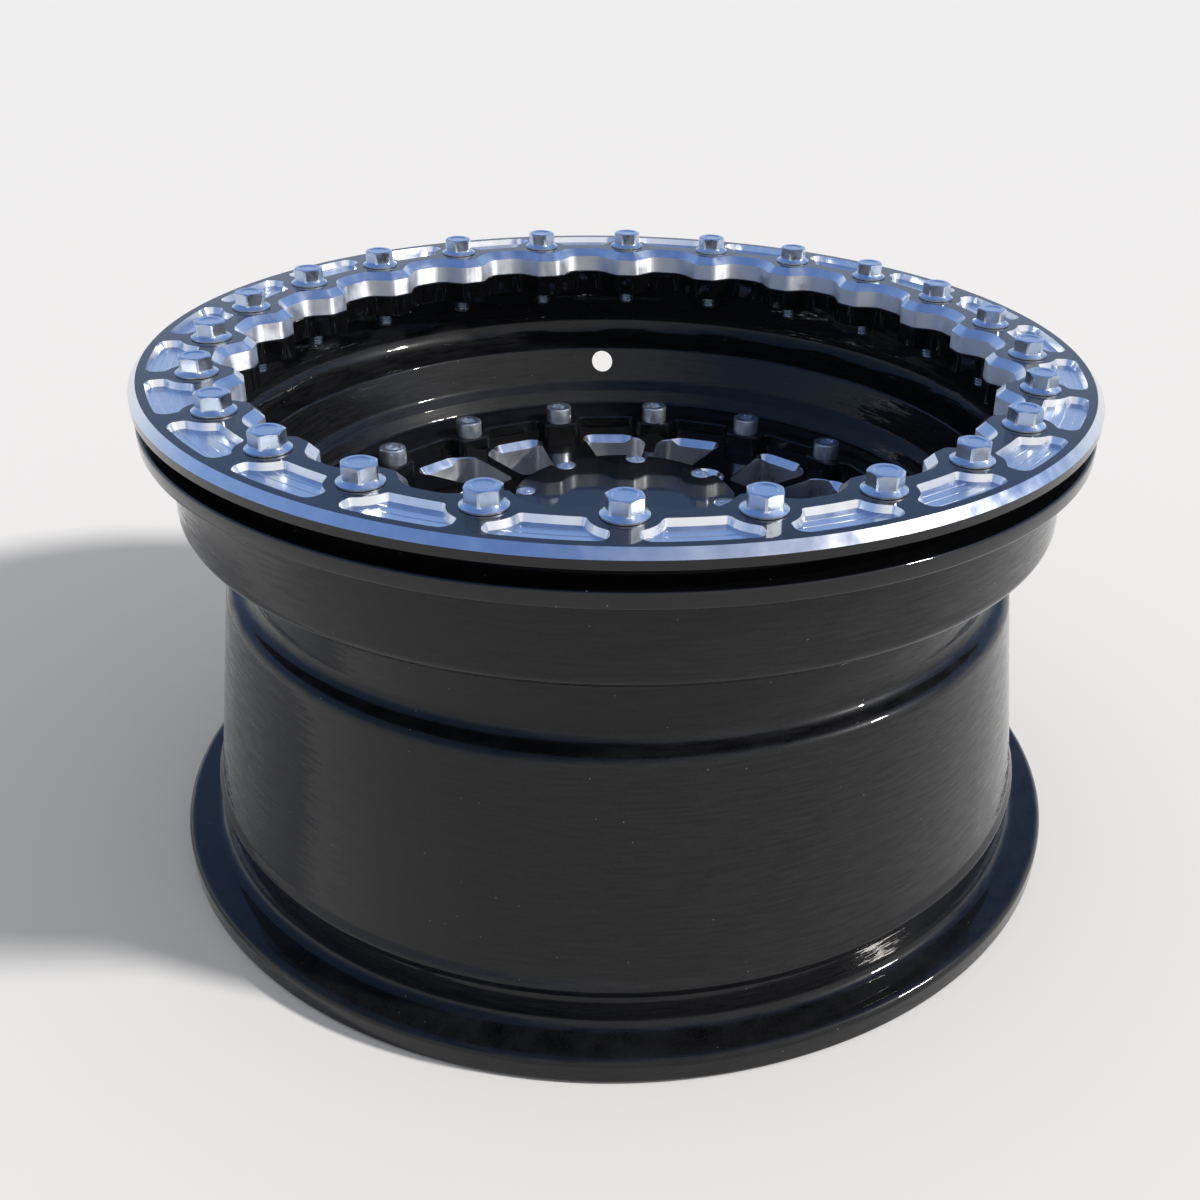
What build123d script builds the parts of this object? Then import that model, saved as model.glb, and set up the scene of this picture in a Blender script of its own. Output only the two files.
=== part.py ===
from build123d import *
from math import atan2, cos, degrees, radians, sin, sqrt, tan
import os

os.makedirs("parts", exist_ok=True)

# Off-road wheel for a 15 inch tyre, 8 inches wide between its bead seats, in millimetres.
# The spin axis is Z, z = 0 is the hub mounting face and +Z points to the street side.

# Bead seats and shells
seat_radius = 190.0
drum_wall = 6.0
ledge_wall = 4.5
well_wall = 5.0
barrel_wall = 5.3

# Clamp ring, bolted over the tyre's outer bead
ring_flange_height = 11.2
ring_thickness = 11.3
ring_lip_thickness = 7.1
ring_rim_chamfer = 3.2
ring_edge_chamfer = 3.4
register_step = 2.5

# Base ring, welded to the outer rim half
base_lip_setback = 0.7
base_thickness = 10.0
base_lip_thickness = 6.8
base_lip_round = 1.2

# Lugs along the inner edge of both rings
ring_bolt_count = 24
ring_bolt_setback = 15.0
ring_bolt_angle = 6.75
ring_lug_reach = 17.2
ring_valley_reach = 8.0
ring_lug_nose_width = 10.0
ring_lug_root_width = 28.0
ring_lug_corner = 5.0
ring_lug_root = 9.0

# Milled pockets on the clamp ring, one between each pair of bolts
pocket_bolt_offset = 2.0
pocket_rim_width = 6.6
pocket_bolt_land = 12.5
pocket_rib_width = 9.4
pocket_corner = 2.2
pocket_rim_corner = 4.5
pocket_depth = 2.6

# Flange bolts of the clamp ring
ring_bolt_radius = 4.0
ring_bolt_length = 30.0
ring_bolt_flats = 12.0
ring_bolt_head_height = 7.5
ring_bolt_flange_radius = 8.3
ring_bolt_flange_edge = 1.1
ring_bolt_flange_rise = 1.1
ring_bolt_crown = 0.9

# Outer rim half, with heights above its mounting flange
flange_thickness = 5.2
shoulder_run = 3.5
shoulder_inset = 3.9
shoulder_height = 6.5
well_depth = 23.0
well_foot_inset = 5.6
well_foot_height = 11.0
well_run = 6.4
ledge_height = 28.0
drum_height = 32.2
drum_inner_bend = 13.0
drum_outer_bend = 5.0
underside_rise = 1.6
flange_root_fillet = 3.0
shoulder_round = 1.0
well_foot_bend = 5.0
ledge_edge_round = 2.0
well_break_bend = 4.0
valve_hole_radius = 5.7
valve_hole_drop = 7.2
valve_hole_angle = 101.25

# Lugs along the inner edge of the mounting flange
centre_screw_count = 16
centre_screw_setback = 30.0
flange_lug_reach = 6.5
flange_valley_depth = 3.5
flange_lug_nose_width = 17.0
flange_lug_root_width = 23.0
flange_lug_corner = 4.0
flange_lug_root = 4.0

# Inner rim half, from the seam down to the lip that it lies on
backspace = 109.5
shelf_drop = 5.3
shelf_fall = 2.5
shelf_width = 9.2
shelf_inner_bend = 6.7
shelf_outer_bend = 5.7
collar_wall = 5.7
barrel_end_step = 0.8
hump_height = 1.6
hump_width = 8.0
hump_foot_round = 2.0
hump_round = 3.0
bead_seat_width = 15.5
lip_flange_height = 17.4
lip_height = 12.0
lip_face_wall = 6.0
lip_curl_wall = 6.0
lip_fillet = 5.0
lip_edge_round = 3.4
lip_curl_round = 2.0
lip_inside_fillet = 2.0
bell_mouth = 9.0
seat_bore_bend = 6.0
shelf_bore_bend = 5.0
collar_bore_bend = 3.0

# Machined centre, bolted behind the mounting flange
centre_thickness = 25.3
face_recess = 3.0
centre_rim_thickness = 12.0
centre_rim_round = 1.0
centre_rim_fillet = 3.0
centre_body_round = 2.0
centre_screw_wall = 8.0
pad_border = 15.0
pad_relief = 3.0
hub_bore_radius = 60.65
hub_bore_depth = 14.0
boss_radius = 51.0
boss_wall = 13.0
boss_height = 7.7
boss_fillet = 2.0

# Windows, one on each side of a lug spoke
window_inner_radius = 86.0
window_outer_radius = 126.0
lug_spoke_width = 24.5
web_width = 6.0
window_spoke_corner = 4.0
window_web_corner = 9.5
window_hub_corner = 4.5
window_bevel = 3.4
bevel_tool_radius = 6.0
bevel_spoke_gap = 5.5
bevel_web_gap = 13.0

# Wheel stud holes
lug_count = 8
lug_circle = 165.1
lug_hole_radius = 7.9
lug_seat_radius = 10.2
lug_seat_angle = 60.0

# Cap over the hub
cap_thickness = 9.0
cap_edge_chamfer = 1.0
cap_spigot_depth = 4.0
cap_spigot_wall = 5.0
cap_screw_setback = 5.4
cap_notch_width = 10.0
cap_notch_floor = 4.0

# Socket screws of the centre and of the cap
centre_screw_radius = 4.0
centre_screw_length = 20.0
centre_screw_head_radius = 6.5
centre_screw_head_height = 8.0
centre_screw_socket = 6.0
cap_screw_radius = 2.5
cap_screw_length = 12.0
cap_screw_head_radius = 4.25
cap_screw_head_height = 5.0
cap_screw_socket = 4.0
socket_depth_share = 0.55
screw_head_chamfer = 0.5

# Clearances
hole_clearance = 0.5
thread_clearance = 0.1
thread_runout = 3.0
register_clearance = 0.3

# Radii that follow, from the bead seat inwards
lip_radius = seat_radius + lip_flange_height
ring_radius = seat_radius + ring_flange_height
base_lip_radius = ring_radius - base_lip_setback
register_radius = seat_radius - register_step
ring_bolt_place = seat_radius - ring_bolt_setback
ring_lug_nose = ring_bolt_place - ring_lug_reach
ring_lug_valley = ring_bolt_place - ring_valley_reach
pocket_inner_radius = ring_bolt_place + pocket_bolt_offset
pocket_outer_radius = ring_radius - pocket_rim_width
barrel_end_radius = seat_radius - barrel_end_step
well_radius = seat_radius - well_depth
shelf_radius = well_radius + shelf_width
well_foot_radius = well_radius - well_foot_inset
well_top_radius = well_foot_radius + well_run
shoulder_radius = well_foot_radius - shoulder_inset
flange_root_radius = shoulder_radius - shoulder_run
collar_radius = well_radius - collar_wall
centre_radius = collar_radius - register_clearance
centre_screw_place = centre_radius - centre_screw_setback
flange_lug_nose = centre_screw_place - flange_lug_reach
flange_lug_valley = centre_screw_place + flange_valley_depth
flange_bore_radius = flange_lug_nose - hole_clearance
centre_body_radius = centre_screw_place + centre_screw_wall
pad_radius = centre_body_radius - pad_border
hub_cavity_radius = boss_radius - boss_wall
cap_screw_place = boss_radius - cap_screw_setback

# Heights that follow, from the mounting face up to the street face
seam_z = centre_thickness
face_z = seam_z - face_recess
flange_face_z = seam_z + flange_thickness
shoulder_z = flange_face_z + shoulder_height
well_foot_z = flange_face_z + well_foot_height
ledge_z = flange_face_z + ledge_height
drum_bottom_z = ledge_z - ledge_wall
base_bottom_z = ledge_z + drum_height
base_top_z = base_bottom_z + base_thickness
base_lip_z = base_bottom_z + base_lip_thickness
ring_face_z = base_top_z + ring_thickness
ring_lip_z = ring_face_z - ring_lip_thickness
boss_face_z = seam_z + boss_height
cap_face_z = boss_face_z + cap_thickness
notch_floor_z = boss_face_z + cap_notch_floor


def ring_bolt_places():
    return PolarLocations(ring_bolt_place, ring_bolt_count, ring_bolt_angle)


def centre_screw_places():
    return PolarLocations(centre_screw_place, centre_screw_count)


def cap_screw_places():
    return PolarLocations(cap_screw_place, lug_count)


def lug_hole_places():
    return PolarLocations(lug_circle / 2, lug_count, 180 / lug_count)


def polar(radius, angle):
    return (radius * cos(radians(angle)), radius * sin(radians(angle)))


def beside_spoke(radius, offset, angle):
    # Point at a radius from the axis and an offset to the left of the line at an angle.
    along = sqrt(radius**2 - offset**2)
    turn = degrees(atan2(offset, along))
    return polar(radius, angle + turn)


def lugged_edge(count, first_angle, nose, valley, nose_width, root_width, corner, root):
    # Closed outline with one rounded lug reaching inwards at each fastener.
    points = []
    radii = []
    for index in range(count):
        angle = first_angle + index * 360 / count
        points.append(beside_spoke(valley, -root_width / 2, angle))
        points.append(beside_spoke(nose, -nose_width / 2, angle))
        points.append(beside_spoke(nose, nose_width / 2, angle))
        points.append(beside_spoke(valley, root_width / 2, angle))
        radii.extend([root, corner, corner, root])
    return FilletPolyline(*points, radius=radii, close=True)


def ring_lugs():
    return lugged_edge(
        ring_bolt_count,
        ring_bolt_angle,
        ring_lug_nose,
        ring_lug_valley,
        ring_lug_nose_width,
        ring_lug_root_width,
        ring_lug_corner,
        ring_lug_root,
    )


def flange_lugs():
    return lugged_edge(
        centre_screw_count,
        0,
        flange_lug_nose,
        flange_lug_valley,
        flange_lug_nose_width,
        flange_lug_root_width,
        flange_lug_corner,
        flange_lug_root,
    )


def section(corners):
    # Closed section in the XZ plane from corners of radius, height and rounding.
    points = [(radius, height) for radius, height, rounding in corners]
    roundings = [rounding for radius, height, rounding in corners]
    return FilletPolyline(*points, radius=roundings, close=True)


def socket_screw(radius, length, head_radius, head_height, socket):
    # Socket head cap screw standing on z = 0 with its shank downwards.
    with BuildPart() as screw:
        with BuildSketch():
            Circle(head_radius)
        extrude(amount=head_height)
        chamfer(screw.edges().sort_by(Axis.Z)[-1], screw_head_chamfer)
        with BuildSketch():
            Circle(radius)
        extrude(amount=-length)
        with BuildSketch(Plane.XY.offset(head_height)):
            RegularPolygon(socket / 2, 6, major_radius=False)
        extrude(amount=-head_height * socket_depth_share, mode=Mode.SUBTRACT)
    return screw.part


# Clamp ring: turned blank with a thick bolted band and a thin lip over the bead
with BuildPart() as beadlock_ring:
    with BuildSketch(Plane.XY.offset(base_top_z)):
        Circle(register_radius)
        with BuildLine():
            ring_lugs()
        make_face(mode=Mode.SUBTRACT)
    extrude(amount=ring_thickness)
    with BuildSketch(Plane.XY.offset(ring_lip_z)):
        Circle(ring_radius)
        Circle(register_radius, mode=Mode.SUBTRACT)
    extrude(amount=ring_lip_thickness)
    street_face = beadlock_ring.faces().sort_by(Axis.Z)[-1]
    chamfer(street_face.outer_wire().edges(), ring_rim_chamfer)
    street_face = beadlock_ring.faces().sort_by(Axis.Z)[-1]
    chamfer(street_face.inner_wires()[0].edges(), ring_edge_chamfer)
    with BuildSketch(Plane.XY.offset(ring_face_z)) as pockets:
        with BuildSketch(mode=Mode.PRIVATE) as pocket:
            Circle(pocket_outer_radius)
            Circle(pocket_inner_radius, mode=Mode.SUBTRACT)
            middle = 180 / ring_bolt_count
            with BuildLine():
                reach = 2 * pocket_outer_radius
                rib_start = beside_spoke(pocket_inner_radius, pocket_rib_width / 2, -middle)
                rib_end = beside_spoke(reach, pocket_rib_width / 2, -middle)
                next_rib = [(x, -y) for x, y in (rib_end, rib_start)]
                Polyline(rib_start, rib_end, *next_rib, close=True)
            make_face(mode=Mode.INTERSECT)
            with Locations(polar(ring_bolt_place, middle), polar(ring_bolt_place, -middle)):
                Circle(pocket_bolt_land, mode=Mode.SUBTRACT)
            fillet(pocket.vertices().sort_by(Axis.X)[:-2], pocket_corner)
            fillet(pocket.vertices().sort_by(Axis.X)[-2:], pocket_rim_corner)
        with PolarLocations(0, ring_bolt_count, ring_bolt_angle + 180 / ring_bolt_count):
            add(pocket.sketch)
    extrude(amount=-pocket_depth, mode=Mode.SUBTRACT)
    with BuildSketch(Plane.XY.offset(base_top_z)):
        with ring_bolt_places():
            Circle(ring_bolt_radius + hole_clearance)
    extrude(amount=ring_thickness, mode=Mode.SUBTRACT)

beadlock_ring.part.label = "beadlock_ring"
export_step(beadlock_ring.part, "parts/beadlock_ring.step")

# Base ring: the same lugs, tapped for the bolts, and the lip under the tyre's bead
with BuildPart() as beadlock_base_ring:
    with BuildSketch(Plane.XY.offset(base_bottom_z)):
        Circle(register_radius)
        with BuildLine():
            ring_lugs()
        make_face(mode=Mode.SUBTRACT)
    extrude(amount=base_thickness)
    with BuildSketch(Plane.XY.offset(base_bottom_z)):
        Circle(base_lip_radius)
        Circle(register_radius, mode=Mode.SUBTRACT)
    extrude(amount=base_lip_thickness)
    lip_edges = beadlock_base_ring.edges().filter_by(GeomType.CIRCLE)
    fillet(lip_edges.filter_by(lambda edge: edge.radius > seat_radius), base_lip_round)
    with BuildSketch(Plane.XY.offset(base_bottom_z)):
        with ring_bolt_places():
            Circle(ring_bolt_radius + thread_clearance)
    extrude(amount=base_thickness, mode=Mode.SUBTRACT)

beadlock_base_ring.part.label = "beadlock_base_ring"
export_step(beadlock_base_ring.part, "parts/beadlock_base_ring.step")

# Outer rim half: spun drum, ledge, slanted well wall and the mounting flange in one shell
well_slope = atan2(well_top_radius - well_foot_radius, ledge_z - well_foot_z)


def well_outside(height):
    # Radius of the outer side of the slanted well wall.
    inside = well_foot_radius + (height - well_foot_z) * tan(well_slope)
    return inside + well_wall / cos(well_slope)


underside_z = drum_bottom_z + underside_rise
well_break_z = well_foot_z + (well_radius - well_outside(well_foot_z)) / tan(well_slope)
valve_z = ledge_z - valve_hole_drop
valve_radius = well_foot_radius + (valve_z - well_foot_z) * tan(well_slope)
valve_direction = polar(cos(well_slope), valve_hole_angle)

with BuildPart() as outer_rim_half:
    with BuildSketch(Plane.XZ):
        with BuildLine():
            section(
                [
                    (flange_bore_radius, seam_z, 0),
                    (flange_bore_radius, flange_face_z, 0),
                    (flange_root_radius, flange_face_z, flange_root_fillet),
                    (shoulder_radius, shoulder_z, shoulder_round),
                    (well_foot_radius, well_foot_z, well_foot_bend),
                    (well_top_radius, ledge_z, ledge_edge_round),
                    (seat_radius - drum_wall, ledge_z, drum_inner_bend),
                    (seat_radius - drum_wall, base_bottom_z, 0),
                    (seat_radius, base_bottom_z, 0),
                    (seat_radius, drum_bottom_z, drum_outer_bend),
                    (well_outside(underside_z), underside_z, 0),
                    (well_radius, well_break_z, well_break_bend),
                    (well_radius, seam_z, 0),
                ]
            )
        make_face()
    revolve(axis=Axis.Z)
    with BuildSketch(Plane.XY.offset(seam_z)):
        with BuildLine():
            flange_lugs()
        make_face()
    extrude(amount=flange_thickness, mode=Mode.SUBTRACT)
    with BuildSketch(Plane.XY.offset(seam_z)):
        with centre_screw_places():
            Circle(centre_screw_radius + hole_clearance)
    extrude(amount=flange_thickness, mode=Mode.SUBTRACT)
    valve_plane = Plane(
        origin=(*polar(valve_radius, valve_hole_angle), valve_z),
        z_dir=(*valve_direction, -sin(well_slope)),
    )
    with BuildSketch(valve_plane):
        Circle(valve_hole_radius)
    extrude(amount=2 * well_wall, both=True, mode=Mode.SUBTRACT)

outer_rim_half.part.label = "outer_rim_half"
export_step(outer_rim_half.part, "parts/outer_rim_half.step")

# Inner rim half: collar at the seam, shelf, conical barrel, safety hump, bead seat and curled lip
shelf_z = seam_z - shelf_drop
shelf_edge_z = shelf_z - shelf_fall
lip_z = -backspace
lip_face_z = lip_z + lip_height
hump_end_z = lip_face_z + bead_seat_width
hump_z = hump_end_z + hump_width / 2
barrel_end_z = hump_end_z + hump_width
lip_back_z = lip_face_z - lip_face_wall
barrel_bore_top = shelf_radius - barrel_wall
barrel_bore_end = seat_radius - barrel_wall

with BuildPart() as inner_rim_half:
    with BuildSketch(Plane.XZ):
        with BuildLine():
            section(
                [
                    (collar_radius, seam_z, 0),
                    (well_radius, seam_z, 0),
                    (well_radius, shelf_z, shelf_inner_bend),
                    (shelf_radius, shelf_edge_z, shelf_outer_bend),
                    (barrel_end_radius, barrel_end_z, hump_foot_round),
                    (seat_radius + hump_height, hump_z, hump_round),
                    (seat_radius - hump_height / 2, hump_end_z, hump_foot_round),
                    (seat_radius, lip_face_z, lip_fillet),
                    (lip_radius, lip_face_z, lip_edge_round),
                    (lip_radius, lip_z, lip_curl_round),
                    (lip_radius - lip_curl_wall, lip_z, lip_curl_round),
                    (lip_radius - lip_curl_wall, lip_back_z, lip_inside_fillet),
                    (barrel_bore_end, lip_back_z, bell_mouth),
                    (barrel_bore_end, hump_end_z, seat_bore_bend),
                    (barrel_bore_top, shelf_z - shelf_drop, shelf_bore_bend),
                    (collar_radius, shelf_edge_z - barrel_wall, collar_bore_bend),
                ]
            )
        make_face()
    revolve(axis=Axis.Z)

inner_rim_half.part.label = "inner_rim_half"
export_step(inner_rim_half.part, "parts/inner_rim_half.step")

# Machined centre: turned disc with a lugged rim, windows, stud holes, a hub bore and the cap's boss
spoke_angle = 360 / lug_count
half_spoke = lug_spoke_width / 2
half_web = web_width / 2


def window_corners(spoke, side):
    # Corners between a lug spoke and the web half a pitch away, on either side of the spoke.
    web = spoke + side * spoke_angle / 2
    return [
        beside_spoke(window_inner_radius, side * half_spoke, spoke),
        beside_spoke(window_outer_radius, side * half_spoke, spoke),
        beside_spoke(window_outer_radius, -side * half_web, web),
        beside_spoke(window_inner_radius, -side * half_web, web),
    ]


def bevel_cutter(spoke, side):
    # Sweep of the bevelling cutter along the outer wall of a window, a bar with a cone at each end.
    spoke_end = Vector(*window_corners(spoke, side)[1], face_z)
    web_end = Vector(*window_corners(spoke, side)[2], face_z)
    along = (web_end - spoke_end).normalized()
    outwards = along.rotate(Axis.Z, -90 * side)
    start = spoke_end + along * bevel_spoke_gap
    end = web_end - along * bevel_web_gap
    inset = outwards * (bevel_tool_radius - window_bevel)
    bar_plane = Plane(origin=(start + end) / 2, x_dir=outwards, z_dir=outwards.cross(Vector(0, 0, 1)))
    with BuildPart() as cutter:
        with BuildSketch(bar_plane):
            with BuildLine():
                Polyline((0, 0), (window_bevel, 0), (0, -window_bevel), close=True)
            make_face()
        extrude(amount=(end - start).length / 2, both=True)
        with Locations(start - inset, end - inset):
            Cone(
                bevel_tool_radius - window_bevel,
                bevel_tool_radius,
                window_bevel,
                align=(Align.CENTER, Align.CENTER, Align.MAX),
            )
    return cutter.part


with BuildPart() as wheel_centre:
    with BuildSketch(Plane.XZ):
        with BuildLine():
            section(
                [
                    (hub_bore_radius, 0, 0),
                    (hub_bore_radius, hub_bore_depth, 0),
                    (hub_cavity_radius, hub_bore_depth, 0),
                    (hub_cavity_radius, boss_face_z, 0),
                    (boss_radius, boss_face_z, 0),
                    (boss_radius, face_z, boss_fillet),
                    (centre_radius, face_z, 0),
                    (centre_radius, seam_z - centre_rim_thickness, centre_rim_round),
                    (centre_body_radius, seam_z - centre_rim_thickness, centre_rim_fillet),
                    (centre_body_radius, pad_relief, centre_body_round),
                    (pad_radius, pad_relief, 0),
                    (pad_radius, 0, 0),
                ]
            )
        make_face()
    revolve(axis=Axis.Z)
    with BuildSketch(Plane.XY.offset(face_z)):
        Circle(centre_radius)
        with BuildLine():
            flange_lugs()
        make_face(mode=Mode.SUBTRACT)
    extrude(amount=face_recess)
    with BuildSketch():
        for index in range(lug_count):
            for side in (-1, 1):
                corners = window_corners((index + 0.5) * spoke_angle, side)
                roundings = [window_hub_corner, window_spoke_corner, window_web_corner, window_hub_corner]
                with BuildLine():
                    FilletPolyline(*corners, radius=roundings, close=True)
                make_face()
    extrude(amount=face_z, mode=Mode.SUBTRACT)
    for index in range(lug_count):
        for side in (-1, 1):
            add(bevel_cutter((index + 0.5) * spoke_angle, side), mode=Mode.SUBTRACT)
    with Locations(Plane.XY.offset(face_z)):
        with lug_hole_places():
            CounterSinkHole(lug_hole_radius, lug_seat_radius, centre_thickness, lug_seat_angle)
    with BuildSketch(Plane.XY.offset(seam_z)):
        with centre_screw_places():
            Circle(centre_screw_radius + thread_clearance)
    extrude(amount=flange_thickness - centre_screw_length - thread_runout, mode=Mode.SUBTRACT)
    with BuildSketch(Plane.XY.offset(boss_face_z)):
        with cap_screw_places():
            Circle(cap_screw_radius + thread_clearance)
    extrude(amount=cap_notch_floor - cap_screw_length - thread_runout, mode=Mode.SUBTRACT)

wheel_centre.part.label = "wheel_centre"
export_step(wheel_centre.part, "parts/wheel_centre.step")

# Hub cap: flat disc with a spigot, and a notch for each of its screws
with BuildPart() as centre_cap:
    with BuildSketch(Plane.XY.offset(boss_face_z)):
        Circle(boss_radius)
    extrude(amount=cap_thickness)
    chamfer(centre_cap.edges().sort_by(Axis.Z)[-1], cap_edge_chamfer)
    with BuildSketch(Plane.XY.offset(boss_face_z)):
        Circle(hub_cavity_radius - register_clearance)
        Circle(hub_cavity_radius - cap_spigot_wall, mode=Mode.SUBTRACT)
    extrude(amount=-cap_spigot_depth)
    with BuildSketch(Plane.XY.offset(notch_floor_z)):
        with cap_screw_places():
            Circle(cap_notch_width / 2)
            Rectangle(boss_radius, cap_notch_width, align=(Align.MIN, Align.CENTER))
    extrude(amount=cap_thickness, mode=Mode.SUBTRACT)
    with BuildSketch(Plane.XY.offset(boss_face_z)):
        with cap_screw_places():
            Circle(cap_screw_radius + hole_clearance)
    extrude(amount=cap_notch_floor, mode=Mode.SUBTRACT)

centre_cap.part.label = "centre_cap"
export_step(centre_cap.part, "parts/centre_cap.step")

# Flange bolts of the clamp ring, standing on its street face
with BuildPart(mode=Mode.PRIVATE) as ring_bolt:
    with BuildSketch(Plane.XZ):
        with BuildLine():
            flange_top = ring_bolt_flange_edge + ring_bolt_flange_rise
            Polyline(
                (0, -ring_bolt_length),
                (ring_bolt_radius, -ring_bolt_length),
                (ring_bolt_radius, 0),
                (ring_bolt_flange_radius, 0),
                (ring_bolt_flange_radius, ring_bolt_flange_edge),
                (ring_bolt_flats / 2, flange_top),
                (0, flange_top),
                close=True,
            )
        make_face()
    revolve(axis=Axis.Z)
    with BuildPart(mode=Mode.PRIVATE) as hexagon:
        with BuildSketch():
            RegularPolygon(ring_bolt_flats / 2, 6, major_radius=False)
        extrude(amount=ring_bolt_head_height)
        with BuildSketch(Plane.XZ):
            corner = ring_bolt_flats / sqrt(3)
            with BuildLine():
                Polyline(
                    (0, 0),
                    (corner, 0),
                    (corner, ring_bolt_head_height - ring_bolt_crown),
                    (ring_bolt_flats / 2, ring_bolt_head_height),
                    (0, ring_bolt_head_height),
                    close=True,
                )
            make_face()
        revolve(axis=Axis.Z, mode=Mode.INTERSECT)
    add(hexagon.part)

with BuildPart() as ring_bolts:
    with Locations(Plane.XY.offset(ring_face_z)):
        with ring_bolt_places():
            add(ring_bolt.part)

ring_bolts.part.label = "ring_bolts"
export_step(ring_bolts.part, "parts/ring_bolts.step")

# Socket screws that hold the centre behind the mounting flange
centre_screw = socket_screw(
    centre_screw_radius,
    centre_screw_length,
    centre_screw_head_radius,
    centre_screw_head_height,
    centre_screw_socket,
)

with BuildPart() as centre_screws:
    with Locations(Plane.XY.offset(flange_face_z)):
        with centre_screw_places():
            add(centre_screw)

centre_screws.part.label = "centre_screws"
export_step(centre_screws.part, "parts/centre_screws.step")

# Socket screws that hold the cap on its boss
cap_screw = socket_screw(
    cap_screw_radius,
    cap_screw_length,
    cap_screw_head_radius,
    cap_screw_head_height,
    cap_screw_socket,
)

with BuildPart() as cap_screws:
    with Locations(Plane.XY.offset(notch_floor_z)):
        with cap_screw_places():
            add(cap_screw)

cap_screws.part.label = "cap_screws"
export_step(cap_screws.part, "parts/cap_screws.step")
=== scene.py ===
import bpy
import bmesh
import math
from mathutils import Matrix, Vector


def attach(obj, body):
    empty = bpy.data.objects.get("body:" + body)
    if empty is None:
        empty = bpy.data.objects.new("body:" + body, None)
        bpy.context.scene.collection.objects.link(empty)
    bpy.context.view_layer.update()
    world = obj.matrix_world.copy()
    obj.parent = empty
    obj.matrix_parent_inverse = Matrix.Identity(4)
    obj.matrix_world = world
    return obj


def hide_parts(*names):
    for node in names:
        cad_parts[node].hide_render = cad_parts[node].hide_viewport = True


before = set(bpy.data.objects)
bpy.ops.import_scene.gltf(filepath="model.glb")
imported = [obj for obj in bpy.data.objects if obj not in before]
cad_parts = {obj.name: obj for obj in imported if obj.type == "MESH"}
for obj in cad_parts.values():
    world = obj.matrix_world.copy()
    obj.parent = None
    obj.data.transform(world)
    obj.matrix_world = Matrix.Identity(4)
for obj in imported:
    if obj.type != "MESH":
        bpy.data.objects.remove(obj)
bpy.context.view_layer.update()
scene = bpy.context.scene
mm = 0.001  # pieces are drawn in millimetres and scaled once when their mesh is stored
smoothCurve = 999.0  # rounding for the points of an arc, limited by the spacing of its points
smoothShare = 0.49  # share of the shorter run beside such a point that its bend takes up
tiny = 1e-4  # points closer than this are one point, and smaller turns are straight
weldGap = 2e-6  # in metres, joins the sectors of a repeated piece
print("frame loaded")


def linearColour(code):
    channels = [int(code[i:i + 2], 16) / 255 for i in (1, 3, 5)]
    return tuple(c / 12.92 if c <= 0.04045 else ((c + 0.055) / 1.055) ** 2.4 for c in channels) + (1.0,)


def addNode(tree, kind, inputs=None, **settings):
    # inputs go by name, or by number where names repeat or change with the settings
    node = tree.nodes.new(kind)
    for key, value in settings.items():
        setattr(node, key, value)
    for key, value in (inputs or {}).items():
        if isinstance(value, bpy.types.NodeSocket):
            tree.links.new(value, node.inputs[key])
        else:
            node.inputs[key].default_value = value
    return node


def startMaterial(name):
    material = bpy.data.materials.new(name)
    material.use_nodes = True
    material.node_tree.nodes.clear()
    return material, material.node_tree


# gloss black powder coat: deep black with a fine grain whose pale flecks are a painted sheen, and a few specks
# of dust, under a clear mirror with a faint orange peel
blackCoat = dict(base="#040405", paleSheen="#0a0a0c", gloss=1.0, glossRough=0.03, index=1.45, sheen=0.05, sheenRough=0.35,
                 roughLeast=0.7, roughMost=1.5, grain=0.35, grainLow=0.35, grainHigh=0.65,
                 peelSize=1.3, peelDepth=0.004, spinTilt=0.0, dust="#6a6d72", dustSpacing=8.0, dustSize=0.24)
# the spun shells also keep faint rows of roller marks, painted paler along the rows as a streaky sheen, and mirror a
# little less
spunCoat = dict(blackCoat, base="#030304", paleSheen="#1c1d20", gloss=0.88, index=1.33, sheen=0.075,
                spinLength=14.0, spinHeight=1.1, spinTilt=0.2, spinShare=0.5)


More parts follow.
